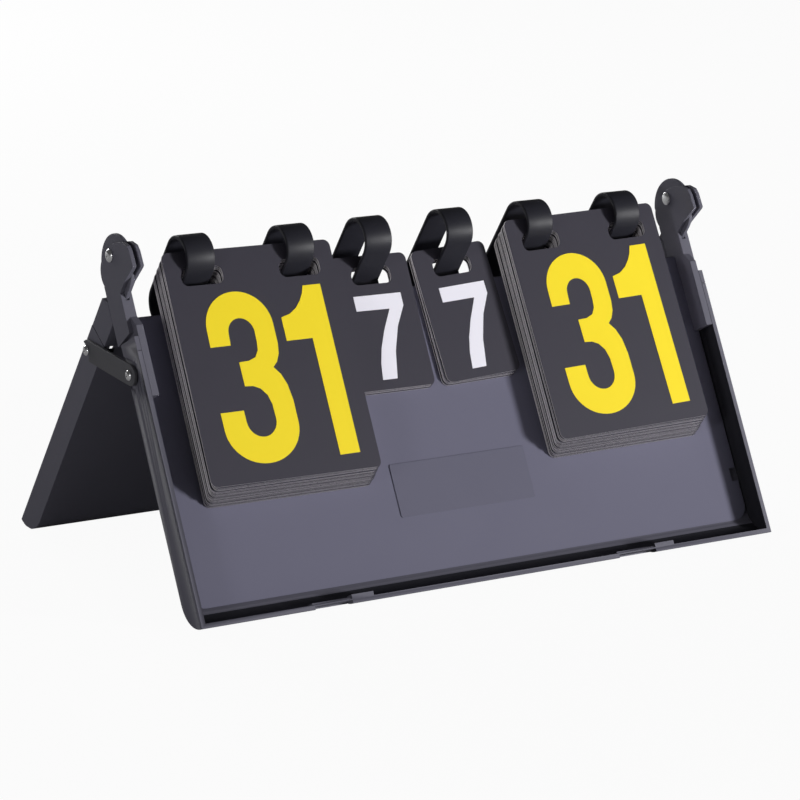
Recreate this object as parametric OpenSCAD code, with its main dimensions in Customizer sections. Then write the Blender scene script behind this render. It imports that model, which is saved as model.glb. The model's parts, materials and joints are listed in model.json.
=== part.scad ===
// Tabletop flip scoreboard: two trays hinged along their top corners stand open as an A,
// and four decks of numbered cards hang on six rings in front of the front tray.
// Millimetres, Z up, X along the width, -Y is the side the players read.
// Trays are drawn in their own slanted frames: s runs down from the pivot, h outwards.

/* [Case] */
// Width over both end walls
body_w = 385; // [360:1:400]
// Lean of the front tray from upright, degrees
front_lean = 29.5; // [24:0.5:36]
// From the pivot down to the bottom rim
slant = 212; // [200:1:224]
// Depth of one tray
tray_d = 17.5; // [15:0.5:20]
// How far the front rim stands in front of the pivot
rim_h = 6; // [5:0.5:8]
// Wall and floor thickness
wall = 2.6; // [2.4:0.1:3]
// Gap between the two rims when the case is shut
rim_gap = 0.2; // [0.1:0.1:0.5]
// Flat ground off the rounded lower edges so that they stand
foot_cut = 0.25; // [0.15:0.05:0.4]

/* [Panels] */
// Thickness of the panel lying in each tray
panel_t = 1.3; // [1:0.1:1.5]
// Groove left round a panel
groove = 1.2; // [0.8:0.1:2]
// Top edge of the front tray's floor
floor_s = 34; // [33:0.5:38]
// Top edge of the rear tray's floor, clear of the rings
rear_floor_s = 53; // [52:0.5:56]
// Label plate width
label_w = 91; // [60:1:110]
// Label plate height
label_l = 31; // [20:1:34]
// Middle of the label plate from the pivot
label_s = 151.5; // [148:0.5:156]

/* [Rings] */
// Width of a ring's band
ring_w = 17.5; // [14:0.5:18]
// Thickness of a ring's band
ring_t = 2.3; // [2:0.1:2.6]
// Outer radius of a ring's round ends
ring_r = 13; // [12:0.1:13.2]
// Straight length between a ring's round ends
ring_l = 36; // [34:0.5:38]

/* [Cards] */
// Big card width
big_w = 107; // [104:1:112]
// Big card height
big_l = 133.5; // [125:0.5:134]
// Small card width
small_w = 51; // [48:1:52]
// Small card height
small_l = 79.5; // [74:0.5:82]
// Thickness of one card
card_t = 0.5; // [0.4:0.05:0.6]
// From the case's end to the edge of a big card
deck_margin = 26.1; // [23:0.1:27]
// Middle of the small decks from the middle of the board
small_x = 27.5; // [27:0.1:30]
// How far both small decks hang to the left of that
small_off = 2.5; // [0:0.1:3]
// Cards behind the front one in a big deck
big_n = 30; // [24:1:30]
// Cards behind the front one in a small deck
small_n = 7; // [5:1:8]
// Spacing of the two holes of a big card
hole_pitch = 62; // [58:0.5:64]
// Width of a card's hole
hole_w = 26; // [25:0.5:28]
// Height of a card's hole
hole_l = 10.4; // [10:0.2:12]
// Height of the big numerals
big_num_l = 99; // [90:1:102]
// Height of the small numerals
small_num_l = 50; // [44:1:52]
// Thickness of the printed numerals
ink_t = 0.2; // [0.15:0.05:0.3]

/* [Joints] */
// Running clearance of a rivet in its hole, each side
fit = 0.06; // [0.03:0.01:0.1]
// Clearance between a tongue and its cheeks, each side
side_fit = 0.15; // [0.1:0.05:0.3]
// Thickness of a knuckle over its three layers
knuckle_w = 7; // [6.4:0.1:8]
// Where the strip inside the end wall, one piece with the knuckle's arm, comes up level with the rim
leg_top = 42; // [38:0.5:46]
// Where that strip ends
leg_end = 82; // [70:1:90]
// Top edge of the ears that fill the rear tray's floor beside the outer rings
ear_s = 34.5; // [34:0.5:50]
// Inner edge of those ears
ear_x = 158; // [156:0.5:166]

/* [Hidden] */
hw = body_w / 2;
rear_h = rim_h + rim_gap;
arc_s = slant - tray_d;
reach = arc_s * cos(front_lean) - rim_h * sin(front_lean);
rear_lean = acos(reach / sqrt(arc_s * arc_s + rear_h * rear_h)) + atan(rear_h / arc_s);
tongue_h = 5;
y_front = -slant * sin(front_lean) - rim_h * cos(front_lean);
y_rear = slant * sin(rear_lean) - (rear_h - tongue_h) * cos(rear_lean);
pivot_y = -(y_front + y_rear) / 2;
pivot_z = reach + tray_d - foot_cut;
spread = front_lean + rear_lean;
sheet_in = rim_h - tray_d + wall;
panel_h = sheet_in + panel_t;
rear_in = -rear_h - tray_d + wall;
ring_s = 1.5;
ring_h = -rim_h;
bore_r = ring_r - ring_t;
top_s = ring_s * cos(spread) - ring_h * sin(spread);
top_h = -ring_s * sin(spread) - ring_h * cos(spread);
run_s = top_s + bore_r * sin(spread);
run_h = top_h + bore_r * cos(spread);
slope = cos(spread) / sin(spread);
knuckle_in = hw - knuckle_w;
tongue_w = knuckle_w / 3;
mid_in = knuckle_in + tongue_w - 0.1;
mid_out = mid_in + tongue_w - 0.1;
seat_s = 48;
stay_s = 66.6;
stay_h = -5.8;
hook_s = 61.7;
hook_h = -12.5;
stay_gap = 0.2;
stay_t = 1.8;
stay_pin = 1.7;
hook_pin = 1.5;
stay_head = 3;
stay_inner = 2.4;
deck_gap = 0.15;
rest_gap = 0.05;
big_pitch = 0.4933;
small_pitch = 0.4;
big_face = panel_h + rest_gap + big_n * big_pitch + deck_gap + card_t;
small_face = panel_h + rest_gap + small_n * small_pitch + deck_gap + card_t;
big_x = hw - deck_margin - big_w / 2;
deck_x = [-big_x, -small_x - small_off, small_x - small_off, big_x];
e = 0.02;
white = [0.92, 0.92, 0.97];
yellow = [1, 0.9, 0.18];
grey = [0.38, 0.38, 0.43];
dark = [0.14, 0.14, 0.16];
steel = [0.75, 0.76, 0.78];

// Slanted frames: local Y is -h in front and h at the rear, local Z is -s
module front() translate([0, pivot_y, pivot_z]) rotate([-front_lean, 0, 0]) children();
module rear() translate([0, pivot_y, pivot_z]) rotate([rear_lean, 0, 0]) children();

// A section given as [s, h] points, drawn out along X
module prism_f(x0, x1, pts)
  front() translate([x0, 0, 0]) rotate([90, 0, 90]) linear_extrude(x1 - x0)
    polygon([for (p = pts) [-p[1], -p[0]]]);
module prism_r(x0, x1, pts)
  rear() translate([x0, 0, 0]) rotate([90, 0, 90]) linear_extrude(x1 - x0)
    polygon([for (p = pts) [p[1], -p[0]]]);

// A flat outline given in [x, -s], standing in the front frame between two h levels
module plate_f(h0, h1) front() translate([0, -h0, 0]) rotate([90, 0, 0]) linear_extrude(h1 - h0) children();
module plate_r(h0, h1) rear() translate([0, h1, 0]) rotate([90, 0, 0]) linear_extrude(h1 - h0) children();

// A round bar along X at a point of either frame
module pin_f(x0, x1, s, h, r, n = 40)
  front() translate([x0, -h, -s]) rotate([0, 90, 0]) cylinder(h = x1 - x0, r = r, $fn = n);
module pin_r(x0, x1, s, h, r, n = 40)
  rear() translate([x0, h, -s]) rotate([0, 90, 0]) cylinder(h = x1 - x0, r = r, $fn = n);

function bend(s, h, r, a0, a1, n) = [for (i = [0:n]) let (a = a0 + (a1 - a0) * i / n)
  [s + r * cos(a), h + r * sin(a)]];

// Full section of a tray end, from level s0 down to the rounded edge
function end_f(s0) = concat([[s0, rim_h], [slant, rim_h]],
  bend(arc_s, rim_h, tray_d, -5, -90, 17), [[s0, rim_h - tray_d]]);
function end_r(s0) = concat([[s0, -rear_h], [slant, -rear_h]],
  bend(arc_s, -rear_h, tray_d, -5, -90, 17), [[s0, -rear_h - tray_d]]);

// Section of the floor and the bottom wall
function sheet_f(s0) = concat([[slant, rim_h]], bend(arc_s, rim_h, tray_d, -5, -90, 17),
  [[s0, rim_h - tray_d], [s0, sheet_in]], bend(arc_s, rim_h, tray_d - wall, -90, 0, 18));
function sheet_r(s0) = concat([[slant, -rear_h]], bend(arc_s, -rear_h, tray_d, -5, -90, 17),
  [[s0, -rear_h - tray_d], [s0, rear_in]], bend(arc_s, -rear_h, tray_d - wall, -90, 0, 18));

module ground() translate([-hw, -200, -20]) cube([2 * hw, 400, 20]);

// Latch places along the bottom rim, as [from, to]
pockets = [[70.5 - hw, 94.5 - hw], [hw - 110.5, hw - 84.5]];
blocks = [[94.5 - hw, 108.5 - hw], [hw - 84.5, hw - 71]];

module front_shell() color(grey)
  difference() {
    union() {
      prism_f(-hw, hw, sheet_f(floor_s));
      for (k = [-1, 1]) prism_f(k > 0 ? hw - wall : -hw, k > 0 ? hw : -hw + wall, end_f(seat_s));
      for (b = blocks) prism_f(b[0], b[1], [[slant - wall - 2.4, rim_h], [slant - 1, rim_h],
        [slant - 1, rim_h - 5], [slant - wall - 2.4, rim_h - 5]]);
      for (p = pockets) prism_f(p[0] - 1, p[1] + 1, [[slant - wall - 1.2, rim_h - 0.8],
        [slant - 2, rim_h - 0.8], [slant - 2, rim_h - 7], [slant - wall - 1.2, rim_h - 7]]);
    }
    for (p = pockets) prism_f(p[0], p[1], [[slant - 1.9, rim_h + 1], [slant + 2, rim_h + 1],
      [slant + 2, rim_h - 6.2], [slant - 1.9, rim_h - 6.2]]);
    // room for the arms beside the floor's top corners
    for (k = [-1, 1]) prism_f(k > 0 ? knuckle_in - 0.2 : -hw - 1, k > 0 ? hw + 1 : 0.2 - knuckle_in,
      [[floor_s - 1, -30], [floor_s - 1, 20], [seat_s + 0.1, 20], [seat_s + 0.1, -30]]);
    // rounded recess behind the stay's end
    for (k = [-1, 1]) hull() {
      pin_f(k * (hw + 0.2) - 0.9, k * (hw + 0.2) + 0.9, stay_s, stay_h, 8.2, 40);
      pin_f(k * (hw + 0.2) - 0.9, k * (hw + 0.2) + 0.9, stay_s - 6, stay_h - 12, 8.2, 40);
    }
    for (k = [-1, 1]) pin_f(k * hw - 5, k * hw + 5, stay_s, stay_h, stay_pin + fit);
    for (x = ring_x) plate_f(rim_h - tray_d - 1, sheet_in + 1) translate([x,
      -42.5]) circle(r = 1.2 + fit, $fn = 24);
    // fine line across the rim below the arm's leg
    for (k = [-1, 1]) prism_f(k * hw - 4, k * hw + 4, [[56, rim_h - 0.35], [56, rim_h + 1],
      [56.4, rim_h + 1], [56.4, rim_h - 0.35]]);
    ground();
  }

module rear_shell() color(grey)
  difference() {
    union() {
      prism_r(-hw, hw, sheet_r(rear_floor_s));
      for (k = [-1, 1]) prism_r(k > 0 ? ear_x : 0.3 - knuckle_in, k > 0 ? knuckle_in - 0.3 : -ear_x,
        [[ear_s, rear_in - wall], [ear_s, rear_in], [rear_floor_s + 1, rear_in], [rear_floor_s + 1,
          rear_in - wall]]);
      for (k = [-1, 1]) prism_r(k > 0 ? hw - wall : -hw, k > 0 ? hw : -hw + wall, end_r(seat_s));
      for (p = pockets) prism_r(p[0] + 0.5, p[1] - 0.5, [[slant - 1.7, -rear_h - 2],
        [slant - 0.75, -rear_h - 2],
        [slant - 0.75, tongue_h - rear_h], [slant - 1.5, tongue_h - rear_h],
          [slant - 1.7, tongue_h - rear_h - 0.6]]);
    }
    for (k = [-1, 1]) pin_r(k * hw - 5, k * hw + 5, hook_s, hook_h, hook_pin + fit);
    ground();
  }

module panel_outline(s0, s1, r) {
  hx = hw - wall - groove;
  difference() {
    union() {
      translate([-hx, -s1 + r]) square([2 * hx, s1 - r - s0]);
      hull() for (k = [-1, 1]) translate([k * (hx - r), -s1 + r]) circle(r = r, $fn = 48);
    }
    for (k = [-1, 1]) translate([k * (hx - 1.5), 40 - slant]) square([6, 8], center = true);
  }
}

module front_panel() color(grey)
  intersection() {
    difference() {
      plate_f(sheet_in, panel_h) panel_outline(floor_s + 0.8, slant - 12.6, 9);
      for (k = [-1, 1]) prism_f(k > 0 ? knuckle_in - 0.2 : -hw, k > 0 ? hw : 0.2 - knuckle_in,
        [[20, -30], [20, 20], [seat_s + 0.2, 20], [seat_s + 0.2, -30]]);
      for (x = ring_x) plate_f(sheet_in - 1, panel_h + 1) translate([x, -42.5]) circle(r = 1.2 + fit,
        $fn = 24);
    }
    prism_f(-hw, hw, concat([[20, rim_h], [20, sheet_in]], bend(arc_s, rim_h, tray_d - wall - 0.04, -90,
      -10, 16)));
  }

module rear_panel() color(dark)
  intersection() {
    plate_r(rear_in, rear_in + panel_t) panel_outline(rear_floor_s + 0.8, slant - 12.6, 9);
    prism_r(-hw, hw, concat([[20, 0], [20, rear_in]], bend(arc_s, -rear_h, tray_d - wall - 0.04, -90,
      -10, 16)));
  }

module label_plate() color([0.42, 0.42, 0.48])
  plate_f(panel_h, panel_h + 0.5) translate([-1.3, -label_s]) offset(1.2, $fn = 24)
    square([label_w - 2.4, label_l - 2.4], center = true);

// Knuckles: a slotted arm in front, a round tongue at the rear
arm_back = 15.2;
arm_pts = concat([[48, -arm_back], [13, -arm_back]], bend(8, -5.7, 10.4, -60, -150, 8), bend(7.3, 3, 12.5, -165, -195, 4),
  [[-4.2, 10.5], [-2.4, 16.6], [1.3, 21.4], [5, 22.6], [13.6, 22.9], [14.4, 21.4], [18.3, 8.6],
    [22, 1.5], [45, 1.5]]);
leg_pts = [[36, 1.5], [leg_top, rim_h - 0.05], [leg_end, rim_h - 0.05], [leg_end, panel_h + 0.2],
  [36, panel_h + 0.2]];

module front_arm(k)
  color(dark) difference() {
    union() {
      prism_f(k > 0 ? knuckle_in : -hw, k > 0 ? hw : -knuckle_in, arm_pts);
      prism_f(k > 0 ? knuckle_in : -hw + wall + 0.15, k > 0 ? hw - wall - 0.15 : -knuckle_in, leg_pts);
    }
    rear() translate([k > 0 ? mid_in - side_fit : -mid_out - side_fit, ring_h - 18.1, -60])
      cube([mid_out - mid_in + 2 * side_fit, 80, 120]);
    pin_f(k * hw - 12, k * hw + 12, 0, 0, 3 + fit);
    // room for the stay rivet's inner head
    pin_f(k * (hw - wall) - 1.4, k * (hw - wall) + 1.4, stay_s, stay_h, stay_inner + 0.4);
  }
module left_front_arm() front_arm(-1);
module right_front_arm() front_arm(1);

tongue_pts = concat(bend(3.5, ring_h + 1, 18, 45, 270, 40), [[36, ring_h - 17], [36, -rear_h], [20.5, -rear_h]]);
// Full depth of the tray, from an arc that turns clear of the front arm and a line that rests clear behind it
block_r = 27.3;
block_a = asin(rear_h / block_r);
block_b = acos((arm_back + 0.3) / block_r) - (90 - spread);
block_s = (arm_back + 0.3 + (rear_h + tray_d) * cos(spread)) / sin(spread);
block_pts = concat(bend(0, 0, block_r, -block_a, -block_b, 6), [[block_s, -rear_h - tray_d]],
  [[seat_s - 0.1, -rear_h - tray_d], [seat_s - 0.1, -rear_h]]);
leg_r_pts = [[44, rear_in + panel_t + 0.3], [57, rear_in + panel_t + 0.3], [57, -rear_h - 1],
  [44, -rear_h - 1]];

module rear_arm(k)
  color(dark) difference() {
    union() {
      prism_r(k > 0 ? mid_in : -mid_out, k > 0 ? mid_out : -mid_in, tongue_pts);
      prism_r(k > 0 ? knuckle_in : -hw, k > 0 ? hw : -knuckle_in, block_pts);
      prism_r(k > 0 ? knuckle_in : -hw + wall + 0.15, k > 0 ? hw - wall - 0.15 : -knuckle_in, leg_r_pts);
    }
    pin_r(k * hw - 12, k * hw + 12, 0, 0, 3 + fit);
  }
module left_rear_arm() rear_arm(-1);
module right_rear_arm() rear_arm(1);

// A rivet along X: domed head outside, flat head inside; x0 and x1 are the faces it holds
module rivet(k, x0, x1, r, head, inner) {
  rotate([0, k * 90, 0]) {
    translate([0, 0, x0]) cylinder(h = x1 - x0, r = r, $fn = 40);
    translate([0, 0, x1 - e]) rotate_extrude($fn = 48)
      polygon([[0, 0], [head, 0], [head, 0.5], [head * 0.93, 1], [head * 0.75, 1.5], [head * 0.45, 1.8],
        [head * 0.3, 1.8], [head * 0.22, 1.5], [0, 1.4]]);
    translate([0, 0, x0 - 1.1]) cylinder(h = 1.1 + e, r = inner, $fn = 40);
  }
}
module hinge_rivet(k) color(steel) front() rivet(k, knuckle_in - 0.1, hw + 0.1, 3, 3.8, 3.8);
module left_hinge_rivet() hinge_rivet(-1);
module right_hinge_rivet() hinge_rivet(1);
module stay_rivet(k) color(steel) front() translate([0, -stay_h, -stay_s])
  rivet(k, hw - wall - 0.05, hw + stay_gap + stay_t + 0.1, stay_pin, stay_head, stay_inner);
module left_stay_rivet() stay_rivet(-1);
module right_stay_rivet() stay_rivet(1);
module stay_stud(k) color(steel) rear() translate([0, hook_h, -hook_s])
  rivet(k, hw - wall - 0.05, hw + stay_gap + stay_t + 0.1, hook_pin, stay_head, stay_inner);
module left_stay_stud() stay_stud(-1);
module right_stay_stud() stay_stud(1);

// Stay: a flat strap between the ends, notched where it sits over the stud
cy = -stay_s * sin(front_lean) - stay_h * cos(front_lean);
cz = -stay_s * cos(front_lean) + stay_h * sin(front_lean);
by = hook_s * sin(rear_lean) + hook_h * cos(rear_lean);
bz = -hook_s * cos(rear_lean) + hook_h * sin(rear_lean);
out_a = atan2(by, -bz);
stay_r = 6;
module stay(k) color([0.2, 0.2, 0.22])
  translate([k > 0 ? hw + stay_gap : -hw - stay_gap - stay_t, pivot_y, pivot_z]) rotate([90, 0, 90])
    linear_extrude(stay_t) difference() {
      hull() {
        translate([cy, cz]) circle(r = stay_r, $fn = 48);
        translate([by, bz]) circle(r = stay_r, $fn = 48);
      }
      translate([cy, cz]) circle(r = stay_pin + fit, $fn = 40);
      hull() {
        translate([by, bz]) circle(r = 1.8, $fn = 32);
        translate([by + 9 * cos(out_a), bz + 9 * sin(out_a)]) circle(r = 2.2, $fn = 32);
        translate([by + 9, bz - 9]) circle(r = 2, $fn = 32);
        translate([by, bz - 10]) circle(r = 2, $fn = 32);
      }
    }
module left_stay() stay(-1);
module right_stay() stay(1);

// Rings: flat bands bent to closed loops, each with a foot screwed behind the front floor
half_pitch = hole_pitch / 2;
hole_x = [deck_x[0] - half_pitch, deck_x[0] + half_pitch, deck_x[1], deck_x[2], deck_x[3] - half_pitch,
  deck_x[3] + half_pitch];
// How far each ring sits to the side of its cards' hole
ring_off = [-1, 0.6, 0, 0.2, -0.6, 0.2];
ring_x = hole_x + ring_off;
module loop2d(r) hull() for (d = [0, ring_l]) translate([ring_h, -ring_s - d]) circle(r = r, $fn = 64);
module ring(n) color([0.1, 0.1, 0.11])
  translate([ring_x[n] - ring_w / 2, 0, 0]) difference() {
    union() {
      rear() rotate([90, 0, 90]) linear_extrude(ring_w) loop2d(ring_r);
      prism_f(0, ring_w, [[24, rim_h - tray_d - 0.1], [48, rim_h - tray_d - 0.1],
        [48, rim_h - tray_d - 2.4], [27, rim_h - tray_d - 2.4]]);
    }
    rear() translate([-1, 0, 0]) rotate([90, 0, 90]) linear_extrude(ring_w + 2) loop2d(bore_r);
    plate_f(-20, 0) translate([ring_w / 2, -42.5]) circle(r = 1.2 + fit, $fn = 24);
  }
module ring_1() ring(0);
module ring_2() ring(1);
module ring_3() ring(2);
module ring_4() ring(3);
module ring_5() ring(4);
module ring_6() ring(5);

module ring_screws() color(steel)
  for (x = ring_x) front() translate([x, -(rim_h - tray_d - 2.45), -42.5]) rotate([90, 0, 0]) {
    cylinder(h = 2.4 + wall + 0.6, r = 1.2, $fn = 24);
    translate([0, 0, -1.3]) difference() {
      cylinder(h = 1.3 + e, r = 2.4, $fn = 32);
      translate([0, 0, 0.2]) cube([3.2, 0.6, 0.8], center = true);
    }
  }

// Where the rings' front run passes through a card at level h
function run_at(h) = h > run_h ? top_s + sqrt(max(0, bore_r * bore_r - pow(h - top_h, 2)))
  : run_s - slope * (h - run_h);

module card_outline(w, l, holes, lift) {
  difference() {
    translate([-w / 2 + 4, -l + 4]) offset(4, $fn = 24) square([w - 8, l - 8]);
    for (x = holes) translate([x, -lift - hole_l / 2]) hull() for (i = [-1, 1], j = [-1, 1])
      translate([i * (hole_w / 2 - 3.8), j * (hole_l / 2 - 3.8)]) circle(r = 3.8, $fn = 20);
  }
}
module any_card(big, lift)
  if (big) card_outline(big_w, big_l, [-half_pitch, half_pitch], lift);
  else card_outline(small_w, small_l, [0], lift);

// A turned card hangs from one edge of its band, so its middle rides a little higher
function rise(big, turn) = abs(sin(turn)) * ((big ? half_pitch : 0) + ring_w / 2);

// The cards behind the front one, in stepped packets
module deck(x, big, turn) {
  face = (big ? big_face : small_face) - card_t - deck_gap;
  back = panel_h + rest_gap;
  n = big ? 6 : 2;
  step = (face - back) / n;
  lift = big ? 8.7 : 6.5;
  for (i = [0:n - 1]) {
    h0 = back + i * step;
    top = run_at(h0 + step) - 0.3 - rise(big, turn);
    plate_f(h0 - (i > 0 ? e : 0), h0 + step) translate([x, -top]) rotate(turn) translate([0, lift])
      any_card(big, lift);
  }
}
module card(x, big, turn) {
  face = big ? big_face : small_face;
  top = run_at(face) - 0.15 - rise(big, turn);
  lift = big ? 9.5 : 6.8;
  plate_f(face - card_t, face) translate([x, -top]) rotate(turn) translate([0, lift]) any_card(big, lift);
}
big_turn_l = -0.8;
big_turn_r = 1.1;
small_turn_l = -0.6;
small_turn_r = 3;
// The big numerals are printed a little askew on their cards
print_turn = 0.6;
deck_col = [0.3, 0.3, 0.34];
module left_big_deck() color(deck_col) deck(deck_x[0], true, -0.4);
module right_big_deck() color(deck_col) deck(deck_x[3], true, 0.6);
module left_small_deck() color(deck_col) deck(deck_x[1], false, -0.5);
module right_small_deck() color(deck_col) deck(deck_x[2], false, 1.5);
module left_big_card() color(deck_col) card(deck_x[0], true, big_turn_l);
module right_big_card() color(deck_col) card(deck_x[3], true, big_turn_r);
module left_small_card() color(deck_col) card(deck_x[1], false, small_turn_l);
module right_small_card() color(deck_col) card(deck_x[2], false, small_turn_r);

// Numerals as flat outlines, x to the right and y up from the foot, drawn 99 or 50 high and scaled to l
function oval(cx, cy, rx, ry, a0, a1, n) = [for (i = [0:n]) let (a = a0 + (a1 - a0) * i / n)
  [cx + rx * cos(a), cy + ry * sin(a)]];
module three(l) scale(l / 99) polygon(concat(
  [[3, 68.7], [3.2, 78.6]], oval(24.1, 78.6, 20.9, 20.4, 180, 0, 24),
  [[45, 67], [44, 61], [41.8, 56.6], [38.8, 53.7], [42.4, 49.4], [45, 43], [46.3, 34]],
  oval(23.1, 21.5, 23.2, 21, 0, -180, 24),
  [[-0.2, 31.5], [14.3, 31.5]],
  oval(23.7, 25, 9.3, 9.5, 180, 360, 16),
  [[32.8, 33], [31.2, 38.5], [27.8, 42.6], [23.6, 44.5], [18.5, 44.9], [18.4, 58.7],
    [24.4, 58.9], [29.2, 60.6], [31.6, 64.4], [32.2, 69]],
  oval(24.2, 75, 8.2, 8.6, 0, 180, 16),
  [[15.6, 68.7]]));
module one(l) scale(l / 99) polygon([
  [16.6, 0], [29.4, 0], [29.4, 98.5], [18.1, 98.5], [16.4, 93.8], [14, 90], [10.7, 86.3],
  [6, 83.2], [0, 81.6], [0, 67.9], [16.6, 67.9]]);
module seven(l) scale(l / 50) polygon([
  [0, 50], [31.5, 50], [31.5, 42.3], [24.6, 30.4], [19.4, 16], [16.3, 0], [6.7, 0], [8, 9.5],
  [10.6, 18.6], [15, 28.6], [21.9, 41.1], [0, 41.3]]);

// Numerals lie on their card and turn with it; each is placed from the middle of the hole's edge
module on_card(x, big, turn) {
  face = big ? big_face : small_face;
  top = run_at(face) - 0.15 - rise(big, turn);
  plate_f(face, face + ink_t) translate([x, -top]) rotate(turn) children();
}
module big_number(x, turn) color(yellow) on_card(x, true, turn + print_turn) {
  translate([-39.2, -15.6 - big_num_l]) three(big_num_l);
  translate([11.8, -15.9 - big_num_l]) one(big_num_l);
}
module small_number(x, turn) color(white) on_card(x, false, turn)
  translate([-small_num_l * 0.32, -17.2 - small_num_l]) seven(small_num_l);
module left_big_number() big_number(deck_x[0], big_turn_l);
module right_big_number() big_number(deck_x[3], big_turn_r);
module left_small_number() small_number(deck_x[1] + 1, small_turn_l);
module right_small_number() small_number(deck_x[2] + 2.5, small_turn_r);

front_shell();
rear_shell();
front_panel();
rear_panel();
label_plate();
left_front_arm();
right_front_arm();
left_rear_arm();
right_rear_arm();
left_hinge_rivet();
right_hinge_rivet();
left_stay();
right_stay();
left_stay_rivet();
right_stay_rivet();
left_stay_stud();
right_stay_stud();
ring_1();
ring_2();
ring_3();
ring_4();
ring_5();
ring_6();
ring_screws();
left_big_deck();
left_small_deck();
right_small_deck();
right_big_deck();
left_big_card();
left_small_card();
right_small_card();
right_big_card();
left_big_number();
left_small_number();
right_small_number();
right_big_number();
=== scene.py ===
"""Tabletop flip scoreboard, dressed over its CAD frame. Metres, Z up, the players look along +Y."""
import json
import math

import bmesh
import bpy
from mathutils import Matrix, Vector


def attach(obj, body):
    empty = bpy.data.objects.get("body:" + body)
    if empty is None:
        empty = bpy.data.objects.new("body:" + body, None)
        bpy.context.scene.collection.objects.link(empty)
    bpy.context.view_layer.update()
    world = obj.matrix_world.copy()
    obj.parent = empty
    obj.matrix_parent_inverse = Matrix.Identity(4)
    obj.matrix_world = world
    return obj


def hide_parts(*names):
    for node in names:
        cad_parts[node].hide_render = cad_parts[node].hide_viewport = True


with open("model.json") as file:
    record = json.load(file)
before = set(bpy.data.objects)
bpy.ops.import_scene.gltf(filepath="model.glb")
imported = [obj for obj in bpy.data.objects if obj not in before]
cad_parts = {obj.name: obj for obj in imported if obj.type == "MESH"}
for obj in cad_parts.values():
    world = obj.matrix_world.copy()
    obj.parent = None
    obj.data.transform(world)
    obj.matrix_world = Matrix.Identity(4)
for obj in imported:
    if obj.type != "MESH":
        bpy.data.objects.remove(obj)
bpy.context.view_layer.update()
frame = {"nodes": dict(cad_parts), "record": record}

MM = 0.001

# The sizes of part.scad, in millimetres, with the leans turned to radians
BODY_W, SLANT, TRAY_D, RIM_H, RIM_GAP, WALL = 385.0, 212.0, 17.5, 6.0, 0.2, 2.6
PANEL_T, FOOT_CUT, TONGUE_H = 1.3, 0.25, 5.0
FRONT_LEAN = math.radians(29.5)
REAR_H = RIM_H + RIM_GAP
ARC_S = SLANT - TRAY_D
REACH = ARC_S * math.cos(FRONT_LEAN) - RIM_H * math.sin(FRONT_LEAN)
REAR_LEAN = math.acos(REACH / math.hypot(ARC_S, REAR_H)) + math.atan(REAR_H / ARC_S)
Y_FRONT = -SLANT * math.sin(FRONT_LEAN) - RIM_H * math.cos(FRONT_LEAN)
Y_REAR = SLANT * math.sin(REAR_LEAN) - (REAR_H - TONGUE_H) * math.cos(REAR_LEAN)
PIVOT = Vector((0, -(Y_FRONT + Y_REAR) / 2, REACH + TRAY_D - FOOT_CUT)) * MM
SPREAD = FRONT_LEAN + REAR_LEAN
PANEL_H = RIM_H - TRAY_D + WALL + PANEL_T

# Stays: their rivet and their stud, down from the pivot and out, then the strap's thickness and gap
STAY_S, STAY_H, HOOK_S, HOOK_H, STAY_T, STAY_GAP = 66.6, -5.8, 61.7, -12.5, 1.8, 0.2
KNUCKLE_W = 7.0

# Radii left on the edges by the mould, or by the knife that cuts the sheets
TRAY_EDGE, STAY_EDGE, SHEET_EDGE = 0.45, 0.3, 0.2

# Rings: flat bands on the rear tray's axes, and where their front run crosses the cards
RING_W, RING_T, RING_R, RING_L, RING_S = 17.5, 2.3, 13.0, 36.0, 1.5
BORE_R = RING_R - RING_T
TOP_S = RING_S * math.cos(SPREAD) + RIM_H * math.sin(SPREAD)
TOP_H = RIM_H * math.cos(SPREAD) - RING_S * math.sin(SPREAD)
RUN_S = TOP_S + BORE_R * math.sin(SPREAD)
RUN_H = TOP_H + BORE_R * math.cos(SPREAD)
SLOPE = math.cos(SPREAD) / math.sin(SPREAD)
# A ring's foot: its middle down from the pivot, its length, and its gap behind the front tray's floor
FOOT_S, FOOT_L, FOOT_GAP = 37.5, 21.0, 0.1
RING_EDGE, FOOT_EDGE = 0.7, 0.5

# Cards: width, height, how far the top edge stands over the slots, and how many slots
BIG_CARD = (107.0, 133.5, 9.5, 2)
SMALL_CARD = (51.0, 79.5, 6.8, 1)
CARD_CORNER, SLOT_W, SLOT_H, SLOT_CORNER = 4.0, 26.0, 10.4, 3.8
DECK_MARGIN = 26.1
BIG_X = BODY_W / 2 - DECK_MARGIN - BIG_CARD[0] / 2
DECK_X = {"left_big": -BIG_X, "left_small": -30.0, "right_small": 25.0, "right_big": BIG_X}
HALF_PITCH = 31.0
SLOT_X = [-BIG_X - HALF_PITCH, -BIG_X + HALF_PITCH, DECK_X["left_small"], DECK_X["right_small"],
          BIG_X - HALF_PITCH, BIG_X + HALF_PITCH]
# How far each ring sits to the side of its cards' slot, as the photograph shows them
RING_OFF = [-1, 0.6, 0, 0.2, -0.6, 0.2]
RING_X = [slot + off for slot, off in zip(SLOT_X, RING_OFF)]
CARD_T, BACK_GAP, DECK_GAP = 0.5, 0.05, 0.15
# The loose cards behind: how many and how far apart, drawn thin enough to show a gap, and their play
BIG_COUNT, BIG_STEP, SMALL_COUNT, SMALL_STEP = 30, 0.4933, 7, 0.4
LOOSE_T, LOOSE_PLAY = 0.38, 0.35
# Clearance between the slots' upper edges and the rings, for the loose cards and for the front card
LOOSE_CLEAR, FRONT_CLEAR = 0.3, 0.15
# Cards that lie close in one bundle, and how close, as a share of their spacing
BUNDLE, CLOSE = 4.5, 0.8

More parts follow.
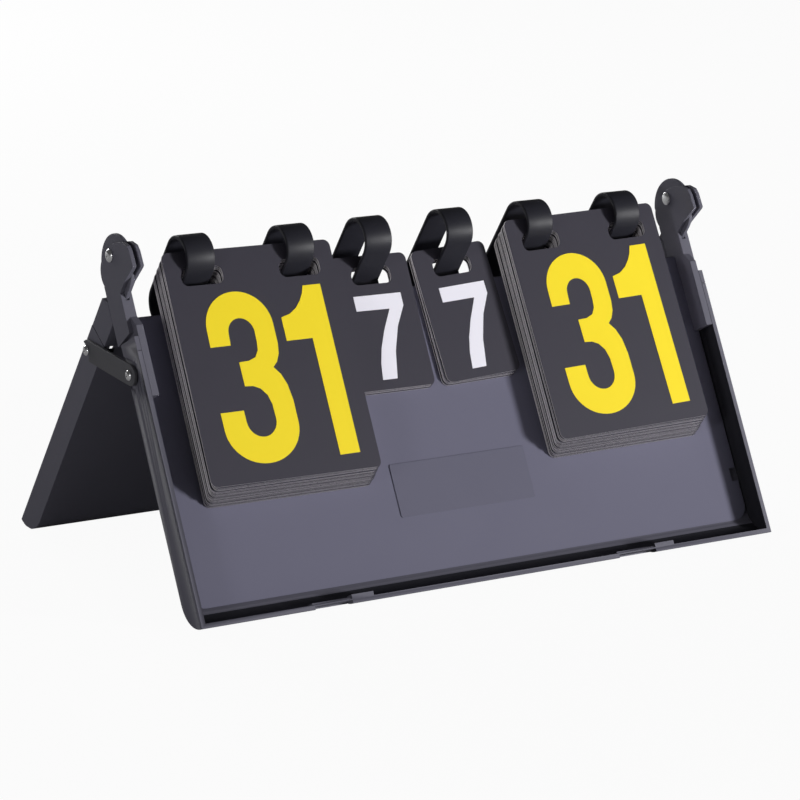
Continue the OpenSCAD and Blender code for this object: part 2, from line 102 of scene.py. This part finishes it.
# Frames of the two trays: X along the width, Y square to the tray and away from the players, Z up the slope
FRONT = Matrix.Translation(PIVOT) @ Matrix.Rotation(-FRONT_LEAN, 4, "X")
REAR = Matrix.Translation(PIVOT) @ Matrix.Rotation(REAR_LEAN, 4, "X")


def on_front(x, s, h):
    """A point of the front tray: s down from the pivot, h out towards the players."""
    return FRONT @ Vector((x * MM, -h * MM, -s * MM))


def on_rear(x, s, h):
    """A point of the rear tray: s down from the pivot, h out towards the back."""
    return REAR @ Vector((x * MM, h * MM, -s * MM))


# Materials
# How far a plastic's roughness varies, and how high its grain is where its strength is one
ROUGH_PLAY, GRAIN_HIGH = 0.06, 0.2 * MM


def hex_colour(text):
    """An sRGB hex value as Blender's linear colour."""
    parts = [int(text[i:i + 2], 16) / 255 for i in (0, 2, 4)]
    return tuple(c / 12.92 if c <= 0.04045 else ((c + 0.055) / 1.055) ** 2.4 for c in parts) + (1.0,)


def add(tree, kind, inputs=None, **settings):
    """Adds one node: settings are its properties, inputs are values or sockets to link."""
    made = tree.nodes.new(kind)
    for key, value in settings.items():
        setattr(made, key, value)
    for key, value in (inputs or {}).items():
        if isinstance(value, bpy.types.NodeSocket):
            tree.links.new(value, made.inputs[key])
        else:
            made.inputs[key].default_value = value
    return made


def emptied(owner):
    """The node tree of a new material or of the world, with nothing in it."""
    owner.use_nodes = True
    owner.node_tree.nodes.clear()
    return owner.node_tree


def moulded(name, tint, shade, rough, grain_mm, depth, spec, cloud_mm=60.0):
    """Moulded or sheet plastic: two close tones in soft clouds, and a grain that its gloss varies with."""
    mat = bpy.data.materials.new(name)
    tree = emptied(mat)
    place = add(tree, "ShaderNodeTexCoord").outputs["Object"]
    cloud = add(tree, "ShaderNodeTexNoise", {"Vector": place, "Scale": 1000 / cloud_mm, "Detail": 3.0})
    # An RGBA mix has its factor at 0 and its colours at 6 and 7
    tone = add(tree, "ShaderNodeMix", {0: cloud.outputs["Fac"], 6: hex_colour(tint), 7: hex_colour(shade)},
               data_type="RGBA")
    grain = add(tree, "ShaderNodeTexNoise", {"Vector": place, "Scale": 1000 / grain_mm, "Detail": 2.0})
    gloss = add(tree, "ShaderNodeMapRange", {"Value": grain.outputs["Fac"], "To Min": rough - ROUGH_PLAY,
                "To Max": rough + ROUGH_PLAY})
    bump = add(tree, "ShaderNodeBump", {"Height": grain.outputs["Fac"], "Strength": depth,
               "Distance": GRAIN_HIGH})
    shader = add(tree, "ShaderNodeBsdfPrincipled", {"Base Color": tone.outputs[2],
                 "Roughness": gloss.outputs["Result"], "Normal": bump.outputs["Normal"],
                 "Specular IOR Level": spec})
    add(tree, "ShaderNodeOutputMaterial", {"Surface": shader.outputs["BSDF"]})
    return mat


# ABS of the two trays, moulded with a spark texture, drawn at 0.9 mm, coarser than the real one: dull, with
# a faint sheen on the rims
CASE = moulded("moulded_abs_grey", "64636F", "5F5E6A", 0.55, 0.9, 0.2, spec=0.3)
# The same ABS on the walls' inner sides, dull, with painted shade: its dark tone paints the shadow in the
# gutter round the sheet, which hardly gets light
CASE_PAINTED_SHADE = moulded("moulded_abs_painted_shade", "2A2A30", "26262C", 0.7, 0.9, 0.3, spec=0.15)
# Polystyrene sheet lying in each tray, cut from a roll: smoother than the case, and a little paler
PANEL = moulded("satin_sheet_grey", "6C6B7D", "686779", 0.62, 1.4, 0.1, spec=0.12)
# Bare label plate, one tone darker than the sheet that it lies on
LABEL = moulded("bare_label_plate", "656475", "626172", 0.55, 1.2, 0.06, spec=0.16)
# Filled nylon of the stays, as moulded: a shade darker than the case, with a low sheen
STAY = moulded("charcoal_nylon", "545459", "505055", 0.5, 0.7, 0.3, spec=0.3)
# Acetal of the rings, moulded smooth: near black, with a soft pale band where it faces the key lamp
RING = moulded("gloss_black_acetal", "28282F", "25252C", 0.48, 6.0, 0.02, spec=0.2)
# Polypropylene card with a calendered face: charcoal, with a low satin sheen
CARD = moulded("satin_card_grey", "3D3B45", "3A3842", 0.42, 1.0, 0.05, spec=0.3)
# The same card where the die cut it: bruised nearly white, which draws fine light lines down a deck
CARD_EDGE = moulded("die_cut_card_edge", "F0ECF0", "DAD4D8", 0.55, 3.0, 0.02, spec=0.2, cloud_mm=40.0)
# Screen print, flat and even
YELLOW = moulded("printed_yellow", "FFE62C", "FFE328", 0.5, 0.8, 0.02, spec=0.2)
WHITE = moulded("printed_white", "F6F4FE", "F2F0FA", 0.5, 0.8, 0.02, spec=0.2)


def steel(name, tint, mark_mm, polished, dulled):
    """Bright stainless, headed and tumbled: fine marks blur what it mirrors, between two roughnesses."""
    mat = bpy.data.materials.new(name)
    tree = emptied(mat)
    place = add(tree, "ShaderNodeTexCoord").outputs["Object"]
    marks = add(tree, "ShaderNodeTexNoise", {"Vector": place, "Scale": 1000 / mark_mm, "Detail": 2.0})
    gloss = add(tree, "ShaderNodeMapRange", {"Value": marks.outputs["Fac"], "To Min": polished,
                "To Max": dulled})
    bump = add(tree, "ShaderNodeBump", {"Height": marks.outputs["Fac"], "Strength": 0.1,
               "Distance": 0.1 * MM})
    shader = add(tree, "ShaderNodeBsdfPrincipled", {"Base Color": hex_colour(tint), "Metallic": 1.0,
                 "Roughness": gloss.outputs["Result"], "Normal": bump.outputs["Normal"]})
    add(tree, "ShaderNodeOutputMaterial", {"Surface": shader.outputs["BSDF"]})
    return mat


STEEL = steel("bright_stainless", "E4E4E6", 0.6, polished=0.14, dulled=0.32)
SLOT_OF = {"case_grey": CASE, "panel_grey": PANEL, "label_grey": LABEL, "arm_black": STAY,
           "ring_black": RING, "rivet_steel": STEEL, "card_grey": CARD, "ink_yellow": YELLOW,
           "ink_white": WHITE}
SLOT = {}
for part in frame["record"]["subparts"]:
    mesh = frame["nodes"][part["node"]].data
    mesh.materials.clear()
    mesh.materials.append(SLOT_OF[part["material_slot"]])
    SLOT[part["node"]] = part["material_slot"]
BODY = {node: body for body, nodes in frame["record"]["behaviour"]["bodies"].items() for node in nodes}


# Making pieces
# Points closer than WELD metres are one, and so are faces that meet at less than FLAT degrees. An edge over
# ROUNDED degrees gets a fillet, and one over SHARP degrees stays sharp in the shading
WELD, FLAT, ROUNDED, SHARP = 2e-6, 1.0, 28.0, 35.0


def placed(name, data):
    """A new object in the scene."""
    made = bpy.data.objects.new(name, data)
    bpy.context.scene.collection.objects.link(made)
    return made


def written(bm, mesh):
    """Ends an edit: what was edited goes into the mesh."""
    bm.to_mesh(mesh)
    bm.free()
    return mesh


def shaded(mesh, sharp=SHARP):
    """Shades a mesh smooth between the edges that are over that angle."""
    mesh.shade_smooth()
    mesh.set_sharp_from_angle(angle=math.radians(sharp))
    return mesh


def dressed(name, mesh, node):
    """Shows a finished mesh as a piece in the place of that CAD node, on the same body and slot."""
    if not mesh.materials:
        mesh.materials.append(SLOT_OF[SLOT[node]])
    piece = placed(name, mesh)
    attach(piece, BODY[node])
    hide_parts(node)
    return piece


def applied(holder):
    """The evaluated mesh of a working object, which goes away."""
    bpy.context.view_layer.update()
    graph = bpy.context.evaluated_depsgraph_get()
    shown = holder.evaluated_get(graph)
    mesh = bpy.data.meshes.new_from_object(shown, preserve_all_data_layers=True, depsgraph=graph)
    bpy.data.objects.remove(holder)
    return mesh


def softened(node, radius):
    """The node's own solid with its edges rounded, as the mould's radii leave them."""
    bm = bmesh.new()
    bm.from_mesh(frame["nodes"][node].data)
    bmesh.ops.remove_doubles(bm, verts=bm.verts, dist=WELD)
    bmesh.ops.dissolve_limit(bm, angle_limit=math.radians(FLAT), verts=bm.verts, edges=bm.edges)
    holder = placed(node + "_work", written(bm, bpy.data.meshes.new(node + "_soft")))
    bevel = holder.modifiers.new("edges", "BEVEL")
    bevel.width = radius * MM
    bevel.segments = 2
    bevel.limit_method = "ANGLE"
    bevel.angle_limit = math.radians(ROUNDED)
    # Normals weighed by area keep the large faces flat beside their small fillets
    holder = placed(node + "_work", shaded(applied(holder)))
    holder.modifiers.new("normals", "WEIGHTED_NORMAL").keep_sharp = True
    return dressed(node + "_moulded", applied(holder), node)


# The painted shade begins this far below the rim and this far down the slope from the pivot
PAINTED_SHADE_BELOW, PAINTED_SHADE_S = 1.2, 40.0


def with_painted_shade(piece, tray, rim, into):
    """Paints shade on a tray's walls: the dark material goes on the faces that look across it or up the
    slope, where they lie in shadow.

    Rim is how far its rim stands from the pivot towards the players; into is 1 or -1, the way in along Y.
    """
    piece.data.materials.append(CASE_PAINTED_SHADE)
    back = tray.inverted()
    for face in piece.data.polygons:
        at = back @ face.center / MM
        looks = back.to_3x3() @ face.normal
        inwards = looks.x * at.x < -0.2 * abs(at.x) or looks.z > 0.6
        inside = abs(at.x) < BODY_W / 2 - 1 and at.z < -PAINTED_SHADE_S and (at.y + rim) * into > PAINTED_SHADE_BELOW
        # Painted shade: the faces picked here take the dark material
        if inwards and inside:
            face.material_index = 1


# Trays, knuckles and stays keep the mould's radii; the sheets and the label are cut, so theirs are finer
# The trays' inner walls get painted shade, a dark material where the gutters lie in shadow
with_painted_shade(softened("front_shell", TRAY_EDGE), FRONT, RIM_H, 1)
with_painted_shade(softened("rear_shell", TRAY_EDGE), REAR, REAR_H, -1)
for node in ("left_front_arm", "right_front_arm", "left_rear_arm", "right_rear_arm"):
    softened(node, TRAY_EDGE)
for node in ("left_stay", "right_stay"):
    softened(node, STAY_EDGE)
for node in ("front_panel", "rear_panel", "label_plate"):
    softened(node, SHEET_EDGE)


# Geometry Nodes
def new_tree(name, inputs):
    """A tree with named inputs: gives it, its input sockets and their identifiers by name."""
    tree = bpy.data.node_groups.new(name, "GeometryNodeTree")
    keys = {}
    for label, kind in inputs.items():
        socket = tree.interface.new_socket(label, in_out="INPUT", socket_type="NodeSocket" + kind)
        keys[label] = socket.identifier
    tree.interface.new_socket("Geometry", in_out="OUTPUT", socket_type="NodeSocketGeometry")
    return tree, add(tree, "NodeGroupInput").outputs, keys


def grown(made, values):
    """A plain mesh grown by such a tree from these values."""
    tree, _, keys = made
    holder = placed("growing", bpy.data.meshes.new("growing"))
    modifier = holder.modifiers.new("grow", "NODES")
    modifier.node_group = tree
    for label, value in values.items():
        modifier[keys[label]] = value
    mesh = applied(holder)
    bm = bmesh.new()
    bm.from_mesh(mesh)
    bmesh.ops.remove_doubles(bm, verts=bm.verts, dist=WELD)
    bmesh.ops.recalc_face_normals(bm, faces=bm.faces)
    return written(bm, mesh)


def bent_band():
    """A band with rounded edges swept round a loop of two half turns and two straight runs, lying in XY."""
    tree, given, keys = new_tree("bent_band", {
        "Radius": "Float", "Straight": "Float", "Width": "Float", "Thickness": "Float", "Edge": "Float",
        "Plastic": "Material"})
    across = add(tree, "ShaderNodeMath", {0: given["Radius"], 1: 2.0}, operation="MULTIPLY").outputs[0]
    along = add(tree, "ShaderNodeMath", {0: across, 1: given["Straight"]}, operation="ADD").outputs[0]
    # A hair under half the width, so that the two fillets of an end don't share a point
    turn = add(tree, "ShaderNodeMath", {0: given["Radius"], 1: 0.999}, operation="MULTIPLY").outputs[0]
    loop = add(tree, "GeometryNodeCurvePrimitiveQuadrilateral", {"Width": across, "Height": along})
    path = add(tree, "GeometryNodeFilletCurve", {"Curve": loop.outputs[0], "Count": 24, "Radius": turn},
               mode="POLY")
    upright = add(tree, "GeometryNodeSetCurveNormal", {"Curve": path.outputs[0]}, mode="Z_UP")
    blank = add(tree, "GeometryNodeCurvePrimitiveQuadrilateral", {"Width": given["Thickness"],
                "Height": given["Width"]})
    section = add(tree, "GeometryNodeFilletCurve", {"Curve": blank.outputs[0], "Count": 4,
                  "Radius": given["Edge"]}, mode="POLY")
    band = add(tree, "GeometryNodeCurveToMesh", {"Curve": upright.outputs[0],
               "Profile Curve": section.outputs[0]})
    real = add(tree, "GeometryNodeRealizeInstances", {"Geometry": band.outputs[0]})
    plastic = add(tree, "GeometryNodeSetMaterial", {"Geometry": real.outputs[0],
                  "Material": given["Plastic"]})
    add(tree, "NodeGroupOutput", {"Geometry": plastic.outputs[0]})
    return tree, given, keys


def card_stack():
    """Cards with rounded corners and a row of slots, hung one behind another as the rings hold them.

    They are in the tray's axes, but lying: X along the width, Y up the slope, Z towards the players.
    """
    tree, given, keys = new_tree("card_stack", {
        "Width": "Float", "Height": "Float", "Lift": "Float", "Corner": "Float", "Slots": "Int",
        "Pitch": "Float", "Slot Width": "Float", "Slot Height": "Float", "Slot Corner": "Float",
        "Thickness": "Float", "Count": "Int", "Front Level": "Float", "Spacing": "Float",
        "Centre S": "Float", "Centre H": "Float", "Bore": "Float", "Run S": "Float", "Run H": "Float",
        "Slope": "Float", "Above": "Float", "Turn": "Float", "Play": "Float", "Face": "Material",
        "Edge": "Material"})
    # One card: its outline and its slots, filled, thickened and closed behind
    half = add(tree, "ShaderNodeMath", {0: given["Height"], 1: 0.5}, operation="MULTIPLY").outputs[0]
    middle = add(tree, "ShaderNodeMath", {0: given["Lift"], 1: half}, operation="SUBTRACT").outputs[0]
    sheet = add(tree, "GeometryNodeCurvePrimitiveQuadrilateral", {"Width": given["Width"],
                "Height": given["Height"]})
    blank = add(tree, "GeometryNodeFilletCurve", {"Curve": sheet.outputs[0], "Count": 6,
                "Radius": given["Corner"]}, mode="POLY")
    lower = add(tree, "ShaderNodeCombineXYZ", {"Y": middle})
    outline = add(tree, "GeometryNodeTransform", {"Geometry": blank.outputs[0],
                  "Translation": lower.outputs[0]})
    slot = add(tree, "GeometryNodeCurvePrimitiveQuadrilateral", {"Width": given["Slot Width"],
               "Height": given["Slot Height"]})
    hole = add(tree, "GeometryNodeFilletCurve", {"Curve": slot.outputs[0], "Count": 5,
               "Radius": given["Slot Corner"]}, mode="POLY")
    spare = add(tree, "ShaderNodeMath", {0: given["Slots"], 1: 1.0}, operation="SUBTRACT").outputs[0]
    start = add(tree, "ShaderNodeMath", {0: spare, 1: given["Pitch"]}, operation="MULTIPLY").outputs[0]
    left = add(tree, "ShaderNodeMath", {0: start, 1: -0.5}, operation="MULTIPLY").outputs[0]
    down = add(tree, "ShaderNodeMath", {0: given["Slot Height"], 1: -0.5}, operation="MULTIPLY").outputs[0]
    first = add(tree, "ShaderNodeCombineXYZ", {"X": left, "Y": down})
    step = add(tree, "ShaderNodeCombineXYZ", {"X": given["Pitch"]})
    row = add(tree, "GeometryNodeMeshLine", {"Count": given["Slots"], "Start Location": first.outputs[0],
              "Offset": step.outputs[0]})
    punched = add(tree, "GeometryNodeInstanceOnPoints", {"Points": row.outputs[0],
                  "Instance": hole.outputs[0]})
    cuts = add(tree, "GeometryNodeRealizeInstances", {"Geometry": punched.outputs[0]})
    curves = add(tree, "GeometryNodeJoinGeometry", {"Geometry": outline.outputs[0]})
    tree.links.new(cuts.outputs[0], curves.inputs["Geometry"])
    face = add(tree, "GeometryNodeFillCurve", {"Curve": curves.outputs[0]})
    thick = add(tree, "GeometryNodeExtrudeMesh", {"Mesh": face.outputs[0],
                "Offset Scale": given["Thickness"], "Individual": False})
    printed = add(tree, "GeometryNodeSetMaterial", {"Geometry": thick.outputs[0],
                  "Material": given["Face"]})
    cut = add(tree, "GeometryNodeSetMaterial", {"Geometry": printed.outputs[0],
              "Selection": thick.outputs["Side"], "Material": given["Edge"]})
    behind = add(tree, "GeometryNodeSetMaterial", {"Geometry": face.outputs[0], "Material": given["Face"]})
    turned = add(tree, "GeometryNodeFlipFaces", {"Mesh": behind.outputs[0]})
    both = add(tree, "GeometryNodeJoinGeometry", {"Geometry": cut.outputs[0]})
    tree.links.new(turned.outputs[0], both.inputs["Geometry"])
    # Where each card hangs: on the ring's round end near the front, further down its straight run behind
    index = add(tree, "GeometryNodeInputIndex").outputs[0]
    # They lie close in bundles of four or five, with the slack between the bundles
    share = add(tree, "ShaderNodeMath", {0: index, 1: BUNDLE}, operation="DIVIDE").outputs[0]
    whole = add(tree, "ShaderNodeMath", {0: share}, operation="FLOOR").outputs[0]
    base = add(tree, "ShaderNodeMath", {0: whole, 1: BUNDLE}, operation="MULTIPLY").outputs[0]
    within = add(tree, "ShaderNodeMath", {0: index, 1: base}, operation="SUBTRACT").outputs[0]
    close = add(tree, "ShaderNodeMath", {0: within, 1: CLOSE}, operation="MULTIPLY").outputs[0]
    rank = add(tree, "ShaderNodeMath", {0: base, 1: close}, operation="ADD").outputs[0]
    depth = add(tree, "ShaderNodeMath", {0: rank, 1: given["Spacing"]}, operation="MULTIPLY").outputs[0]
    level = add(tree, "ShaderNodeMath", {0: given["Front Level"], 1: depth},
                operation="SUBTRACT").outputs[0]
    off = add(tree, "ShaderNodeMath", {0: level, 1: given["Centre H"]}, operation="SUBTRACT").outputs[0]
    square = add(tree, "ShaderNodeMath", {0: off, 1: off}, operation="MULTIPLY").outputs[0]
    bore = add(tree, "ShaderNodeMath", {0: given["Bore"], 1: given["Bore"]},
               operation="MULTIPLY").outputs[0]
    rest = add(tree, "ShaderNodeMath", {0: bore, 1: square}, operation="SUBTRACT").outputs[0]
    root = add(tree, "ShaderNodeMath", {0: rest}, operation="SQRT").outputs[0]
    on_end = add(tree, "ShaderNodeMath", {0: given["Centre S"], 1: root}, operation="ADD").outputs[0]
    past = add(tree, "ShaderNodeMath", {0: level, 1: given["Run H"]}, operation="SUBTRACT").outputs[0]
    fall = add(tree, "ShaderNodeMath", {0: past, 1: given["Slope"]}, operation="MULTIPLY").outputs[0]
    on_run = add(tree, "ShaderNodeMath", {0: given["Run S"], 1: fall}, operation="SUBTRACT").outputs[0]
    front = add(tree, "ShaderNodeMath", {0: past, 1: 0.0}, operation="GREATER_THAN").outputs[0]
    hang = add(tree, "GeometryNodeSwitch", {"Switch": front, "False": on_run, "True": on_end},
               input_type="FLOAT").outputs[0]
    raised = add(tree, "ShaderNodeMath", {0: given["Above"], 1: hang}, operation="SUBTRACT").outputs[0]
    # Loose cards: each a little off its neighbour, and each bundle further off, by shares of the play.
    # A card also turns, by thousandths of a radian for each millimetre of play
    near = add(tree, "FunctionNodeRandomValue", {"Min": (-0.6, -0.35, 0), "Max": (0.6, 0.35, 0),
               "ID": index, "Seed": 5}, data_type="FLOAT_VECTOR").outputs[0]
    far = add(tree, "FunctionNodeRandomValue", {"Min": (-1.0, -0.6, 0), "Max": (1.0, 0.6, 0), "ID": whole,
              "Seed": 9}, data_type="FLOAT_VECTOR").outputs[0]
    loose = add(tree, "ShaderNodeVectorMath", {0: near, 1: far}, operation="ADD").outputs[0]
    play = add(tree, "ShaderNodeVectorMath", {0: loose, "Scale": given["Play"]},
               operation="SCALE").outputs[0]
    place = add(tree, "ShaderNodeCombineXYZ", {"Y": raised, "Z": level})
    moved = add(tree, "ShaderNodeVectorMath", {0: place.outputs[0], 1: play}, operation="ADD").outputs[0]
    tip = add(tree, "FunctionNodeRandomValue", {2: -6.0, 3: 6.0, "ID": index, "Seed": 3},
              data_type="FLOAT").outputs[1]
    swing = add(tree, "ShaderNodeMath", {0: tip, 1: given["Play"]}, operation="MULTIPLY").outputs[0]
    angle = add(tree, "ShaderNodeMath", {0: given["Turn"], 1: swing}, operation="ADD").outputs[0]
    twist = add(tree, "ShaderNodeCombineXYZ", {"Z": angle})
    pegs = add(tree, "GeometryNodeMeshLine", {"Count": given["Count"]})
    spread = add(tree, "GeometryNodeSetPosition", {"Geometry": pegs.outputs[0], "Position": moved})
    hung = add(tree, "GeometryNodeInstanceOnPoints", {"Points": spread.outputs[0],
               "Instance": both.outputs[0], "Rotation": twist.outputs[0]})
    real = add(tree, "GeometryNodeRealizeInstances", {"Geometry": hung.outputs[0]})
    add(tree, "NodeGroupOutput", {"Geometry": real.outputs[0]})
    return tree, given, keys


BAND = bent_band()
STACK = card_stack()


# Rings
def ring(number, x):
    """A band, with the foot that the screw holds behind the front tray's floor."""
    mesh = grown(BAND, {"Radius": (RING_R - RING_T / 2) * MM, "Straight": RING_L * MM, "Width": RING_W * MM,
                        "Thickness": RING_T * MM, "Edge": RING_EDGE * MM, "Plastic": RING})
    # The loop lies in XY as it is grown; this stands it up in the rear tray's frame, facing along the width
    middle = Matrix(((0, 0, 1, x * MM), (1, 0, 0, -RIM_H * MM), (0, 1, 0, -(RING_S + RING_L / 2) * MM),
                     (0, 0, 0, 1)))
    mesh.transform(REAR @ middle)
    bm = bmesh.new()
    bm.from_mesh(mesh)
    foot = on_front(x, FOOT_S, RIM_H - TRAY_D - FOOT_GAP - RING_T / 2)
    leaning = Matrix.Translation(foot) @ Matrix.Rotation(-FRONT_LEAN, 4, "X")
    sized = Matrix.Diagonal((RING_W * MM, RING_T * MM, FOOT_L * MM, 1))
    made = bmesh.ops.create_cube(bm, size=1, matrix=leaning @ sized)
    edges = {edge for vert in made["verts"] for edge in vert.link_edges}
    bmesh.ops.bevel(bm, geom=list(edges), offset=FOOT_EDGE * MM, segments=2, affect="EDGES", profile=0.5)
    dressed("ring_%d_band" % number, shaded(written(bm, mesh)), "ring_%d" % number)


for number, x in enumerate(RING_X):
    ring(number + 1, x)


# Decks
# A card lies in XY as it is grown; this stands it up in the front tray's frame
STANDING = Matrix(((1, 0, 0, 0), (0, 0, -1, 0), (0, 1, 0, 0), (0, 0, 0, 1)))


def cards(name, node, deck, count, spacing, front_level, clear, turn, play, thick):
    """Hangs that many cards in the front tray's frame, the first with its face at front_level."""
    big = deck.endswith("big")
    width, height, lift, slots = BIG_CARD if big else SMALL_CARD
    # A turned card is raised until its slots clear the outer corners of its rings
    rise = abs(math.sin(math.radians(turn))) * ((HALF_PITCH if big else 0) + RING_W / 2)
    mesh = grown(STACK, {
        "Width": width * MM, "Height": height * MM, "Lift": lift * MM, "Corner": CARD_CORNER * MM,
        "Slots": slots, "Pitch": 2 * HALF_PITCH * MM, "Slot Width": SLOT_W * MM, "Slot Height": SLOT_H * MM,
        "Slot Corner": SLOT_CORNER * MM, "Thickness": thick * MM, "Count": count,
        "Front Level": (front_level - thick) * MM, "Spacing": spacing * MM, "Centre S": TOP_S * MM,
        "Centre H": TOP_H * MM, "Bore": BORE_R * MM, "Run S": RUN_S * MM, "Run H": RUN_H * MM,
        "Slope": SLOPE, "Above": (clear + rise) * MM, "Turn": math.radians(turn), "Play": play * MM,
        "Face": CARD, "Edge": CARD_EDGE})
    mesh.transform(FRONT @ Matrix.Translation((DECK_X[deck] * MM, 0, 0)) @ STANDING)
    dressed(name, shaded(mesh, 40), node)


def hang_deck(deck, behind, step, deck_turn, card_turn):
    """The loose cards behind, then the front card, which carries the numeral; the turns are in degrees."""
    face = PANEL_H + BACK_GAP + behind * step + DECK_GAP + CARD_T
    cards(deck + "_cards", deck + "_deck", deck, behind, step, face - CARD_T - DECK_GAP, LOOSE_CLEAR,
          deck_turn, LOOSE_PLAY, LOOSE_T)
    cards(deck + "_front", deck + "_card", deck, 1, step, face, FRONT_CLEAR, card_turn, 0.0, CARD_T)


hang_deck("left_big", BIG_COUNT, BIG_STEP, -0.4, -0.8)
hang_deck("right_big", BIG_COUNT, BIG_STEP, 0.6, 1.1)
hang_deck("left_small", SMALL_COUNT, SMALL_STEP, -0.5, -0.6)
hang_deck("right_small", SMALL_COUNT, SMALL_STEP, 1.5, 3.0)


# Rivets: a head's edge, the dome's rise over it, the head closed behind, and the sides of a turned piece
HEAD_T, DOME_RISE, CLOSED_T, SIDES = 0.45, 1.35, 1.1, 48
# Room left under a head outside a stack, and behind the tray's wall
HEAD_PLAY, WALL_PLAY = 0.1, 0.05


def rivet(node, side, centre, held, shank, head, inner):
    """Turned about X, with a dimple in its dome; held is where the riveted stack begins and ends."""
    start, end = held
    crown = end + HEAD_T + DOME_RISE
    slopes = [math.radians(d) for d in range(0, 75, 6)]
    outline = [(inner * 0.93, start - CLOSED_T), (inner, start - CLOSED_T + 0.15), (inner, start),
               (shank, start), (shank, end), (head, end)]
    outline += [(head * math.cos(a), end + HEAD_T + DOME_RISE * math.sin(a)) for a in slopes]
    outline += [(head * 0.24, crown - 0.08), (head * 0.18, crown - 0.3), (head * 0.1, crown - 0.38)]
    around = [math.tau * i / SIDES for i in range(SIDES)]
    bm = bmesh.new()
    loops = []
    for radius, along in outline:
        out, place = radius * MM, side * along * MM
        loops.append([bm.verts.new((place, out * math.cos(a), out * math.sin(a))) for a in around])
    for low, high in zip(loops, loops[1:]):
        for i in range(SIDES):
            bm.faces.new((low[i], low[i - 1], high[i - 1], high[i]))
    bm.faces.new(loops[0])
    bm.faces.new(loops[-1])
    bmesh.ops.recalc_face_normals(bm, faces=bm.faces)
    mesh = written(bm, bpy.data.meshes.new(node + "_head"))
    mesh.transform(Matrix.Translation(centre))
    dressed(node + "_turned", shaded(mesh, 50), node)


half = BODY_W / 2
for side, word in ((-1, "left"), (1, "right")):
    knuckle = (half - KNUCKLE_W - HEAD_PLAY, half + HEAD_PLAY)
    strap = (half - WALL - WALL_PLAY, half + STAY_GAP + STAY_T + HEAD_PLAY)
    rivet(word + "_hinge_rivet", side, PIVOT, knuckle, shank=3.0, head=3.8, inner=3.8)
    rivet(word + "_stay_rivet", side, on_front(0, STAY_S, STAY_H), strap, shank=1.7, head=3.0, inner=2.4)
    rivet(word + "_stay_stud", side, on_rear(0, HOOK_S, HOOK_H), strap, shank=1.5, head=3.0, inner=2.4)


# Camera, floor and light
# The photograph's side in pixels, and the sensor's width in millimetres that goes with the lens
PHOTO_SIDE, SENSOR_W = 800, 36.0


def camera():
    """The photograph's viewpoint, solved from its edges: radians, metres, and a focal length in pixels."""
    az, el, roll, dist, focal = -0.568, 0.2629, 0.0304, 1.62827, 3307.97
    target = PIVOT + Vector((-0.1599145, -0.247617, -0.0251349))
    back = Vector((math.sin(az) * math.cos(el), -math.cos(az) * math.cos(el), math.sin(el)))
    right = (-back).cross(Vector((0, 0, 1))).normalized()
    up = right.cross(-back)
    across = math.cos(roll) * right + math.sin(roll) * up
    above = -math.sin(roll) * right + math.cos(roll) * up
    cam = placed("photo_camera", bpy.data.cameras.new("photo_camera"))
    cam.data.sensor_width = SENSOR_W
    cam.data.lens = focal * SENSOR_W / PHOTO_SIDE
    cam.data.clip_start, cam.data.clip_end = 0.05, 50
    facing = Matrix((across, above, back)).transposed().to_4x4()
    cam.matrix_world = Matrix.Translation(target + back * dist) @ facing
    bpy.context.scene.camera = cam


camera()


def lamp(name, at, look, size, power):
    """A white sheet of light, its size in metres and its power in watts."""
    light = bpy.data.lights.new(name, "AREA")
    light.shape = "RECTANGLE"
    light.size, light.size_y = size
    light.energy = power
    holder = placed(name, light)
    holder.location = at
    holder.rotation_mode = "QUATERNION"
    holder.rotation_quaternion = (Vector(look) - Vector(at)).to_track_quat("-Z", "Y")


# The key stands low on the right, so that the decks shade the tray on their left. A weak screen in front
# fills that shade, one on the left lights the end wall and the cards' edges, and one behind shows the back
lamp("key_right", (1.74, -1.93, 0.3), (0, 0, 0.1), (0.4, 0.4), 67)
lamp("screen_front", (0.9, -1.85, 0.35), (0, 0, 0.1), (1.0, 0.6), 2)
lamp("screen_left", (-1.95, -0.85, 0.42), (-0.15, 0, 0.1), (0.35, 0.35), 7)
lamp("screen_back", (-0.1, 2.3, 0.8), (0, 0, 0.1), (1.2, 0.8), 28)


def backdrop():
    """A plain white floor: the camera sees it white, the object is lit by it as by a pale table."""
    mat = bpy.data.materials.new("white_floor")
    tree = emptied(mat)
    ray = add(tree, "ShaderNodeLightPath").outputs
    paper = add(tree, "ShaderNodeBsdfDiffuse", {"Color": hex_colour("E8E8E8")})
    glow = add(tree, "ShaderNodeEmission", {"Color": hex_colour("FFFFFF"), "Strength": 1.0})
    seen = add(tree, "ShaderNodeMath", {0: ray["Is Camera Ray"], 1: 0.95}, operation="MULTIPLY")
    both = add(tree, "ShaderNodeMixShader", {0: seen.outputs[0], 1: paper.outputs[0], 2: glow.outputs[0]})
    add(tree, "ShaderNodeOutputMaterial", {"Surface": both.outputs[0]})
    bm = bmesh.new()
    bmesh.ops.create_grid(bm, x_segments=1, y_segments=1, size=8)
    mesh = written(bm, bpy.data.meshes.new("floor"))
    mesh.materials.append(mat)
    floor = placed("floor", mesh)
    # Half a millimetre under the feet, so that the two don't share a plane
    floor.location = (0, 0, -0.0005)


def studio(light):
    """A room that lights the object evenly at that strength, and that the camera sees white."""
    world = bpy.data.worlds.new("studio")
    bpy.context.scene.world = world
    tree = emptied(world)
    ray = add(tree, "ShaderNodeLightPath").outputs
    level = add(tree, "ShaderNodeMapRange", {"Value": ray["Is Camera Ray"], "To Min": light, "To Max": 1.0})
    sky = add(tree, "ShaderNodeBackground", {"Color": hex_colour("FFFFFF"),
              "Strength": level.outputs["Result"]})
    add(tree, "ShaderNodeOutputWorld", {"Surface": sky.outputs[0]})


backdrop()
studio(0.065)
bpy.context.scene.view_settings.view_transform = "Standard"

bpy.context.view_layer.update()
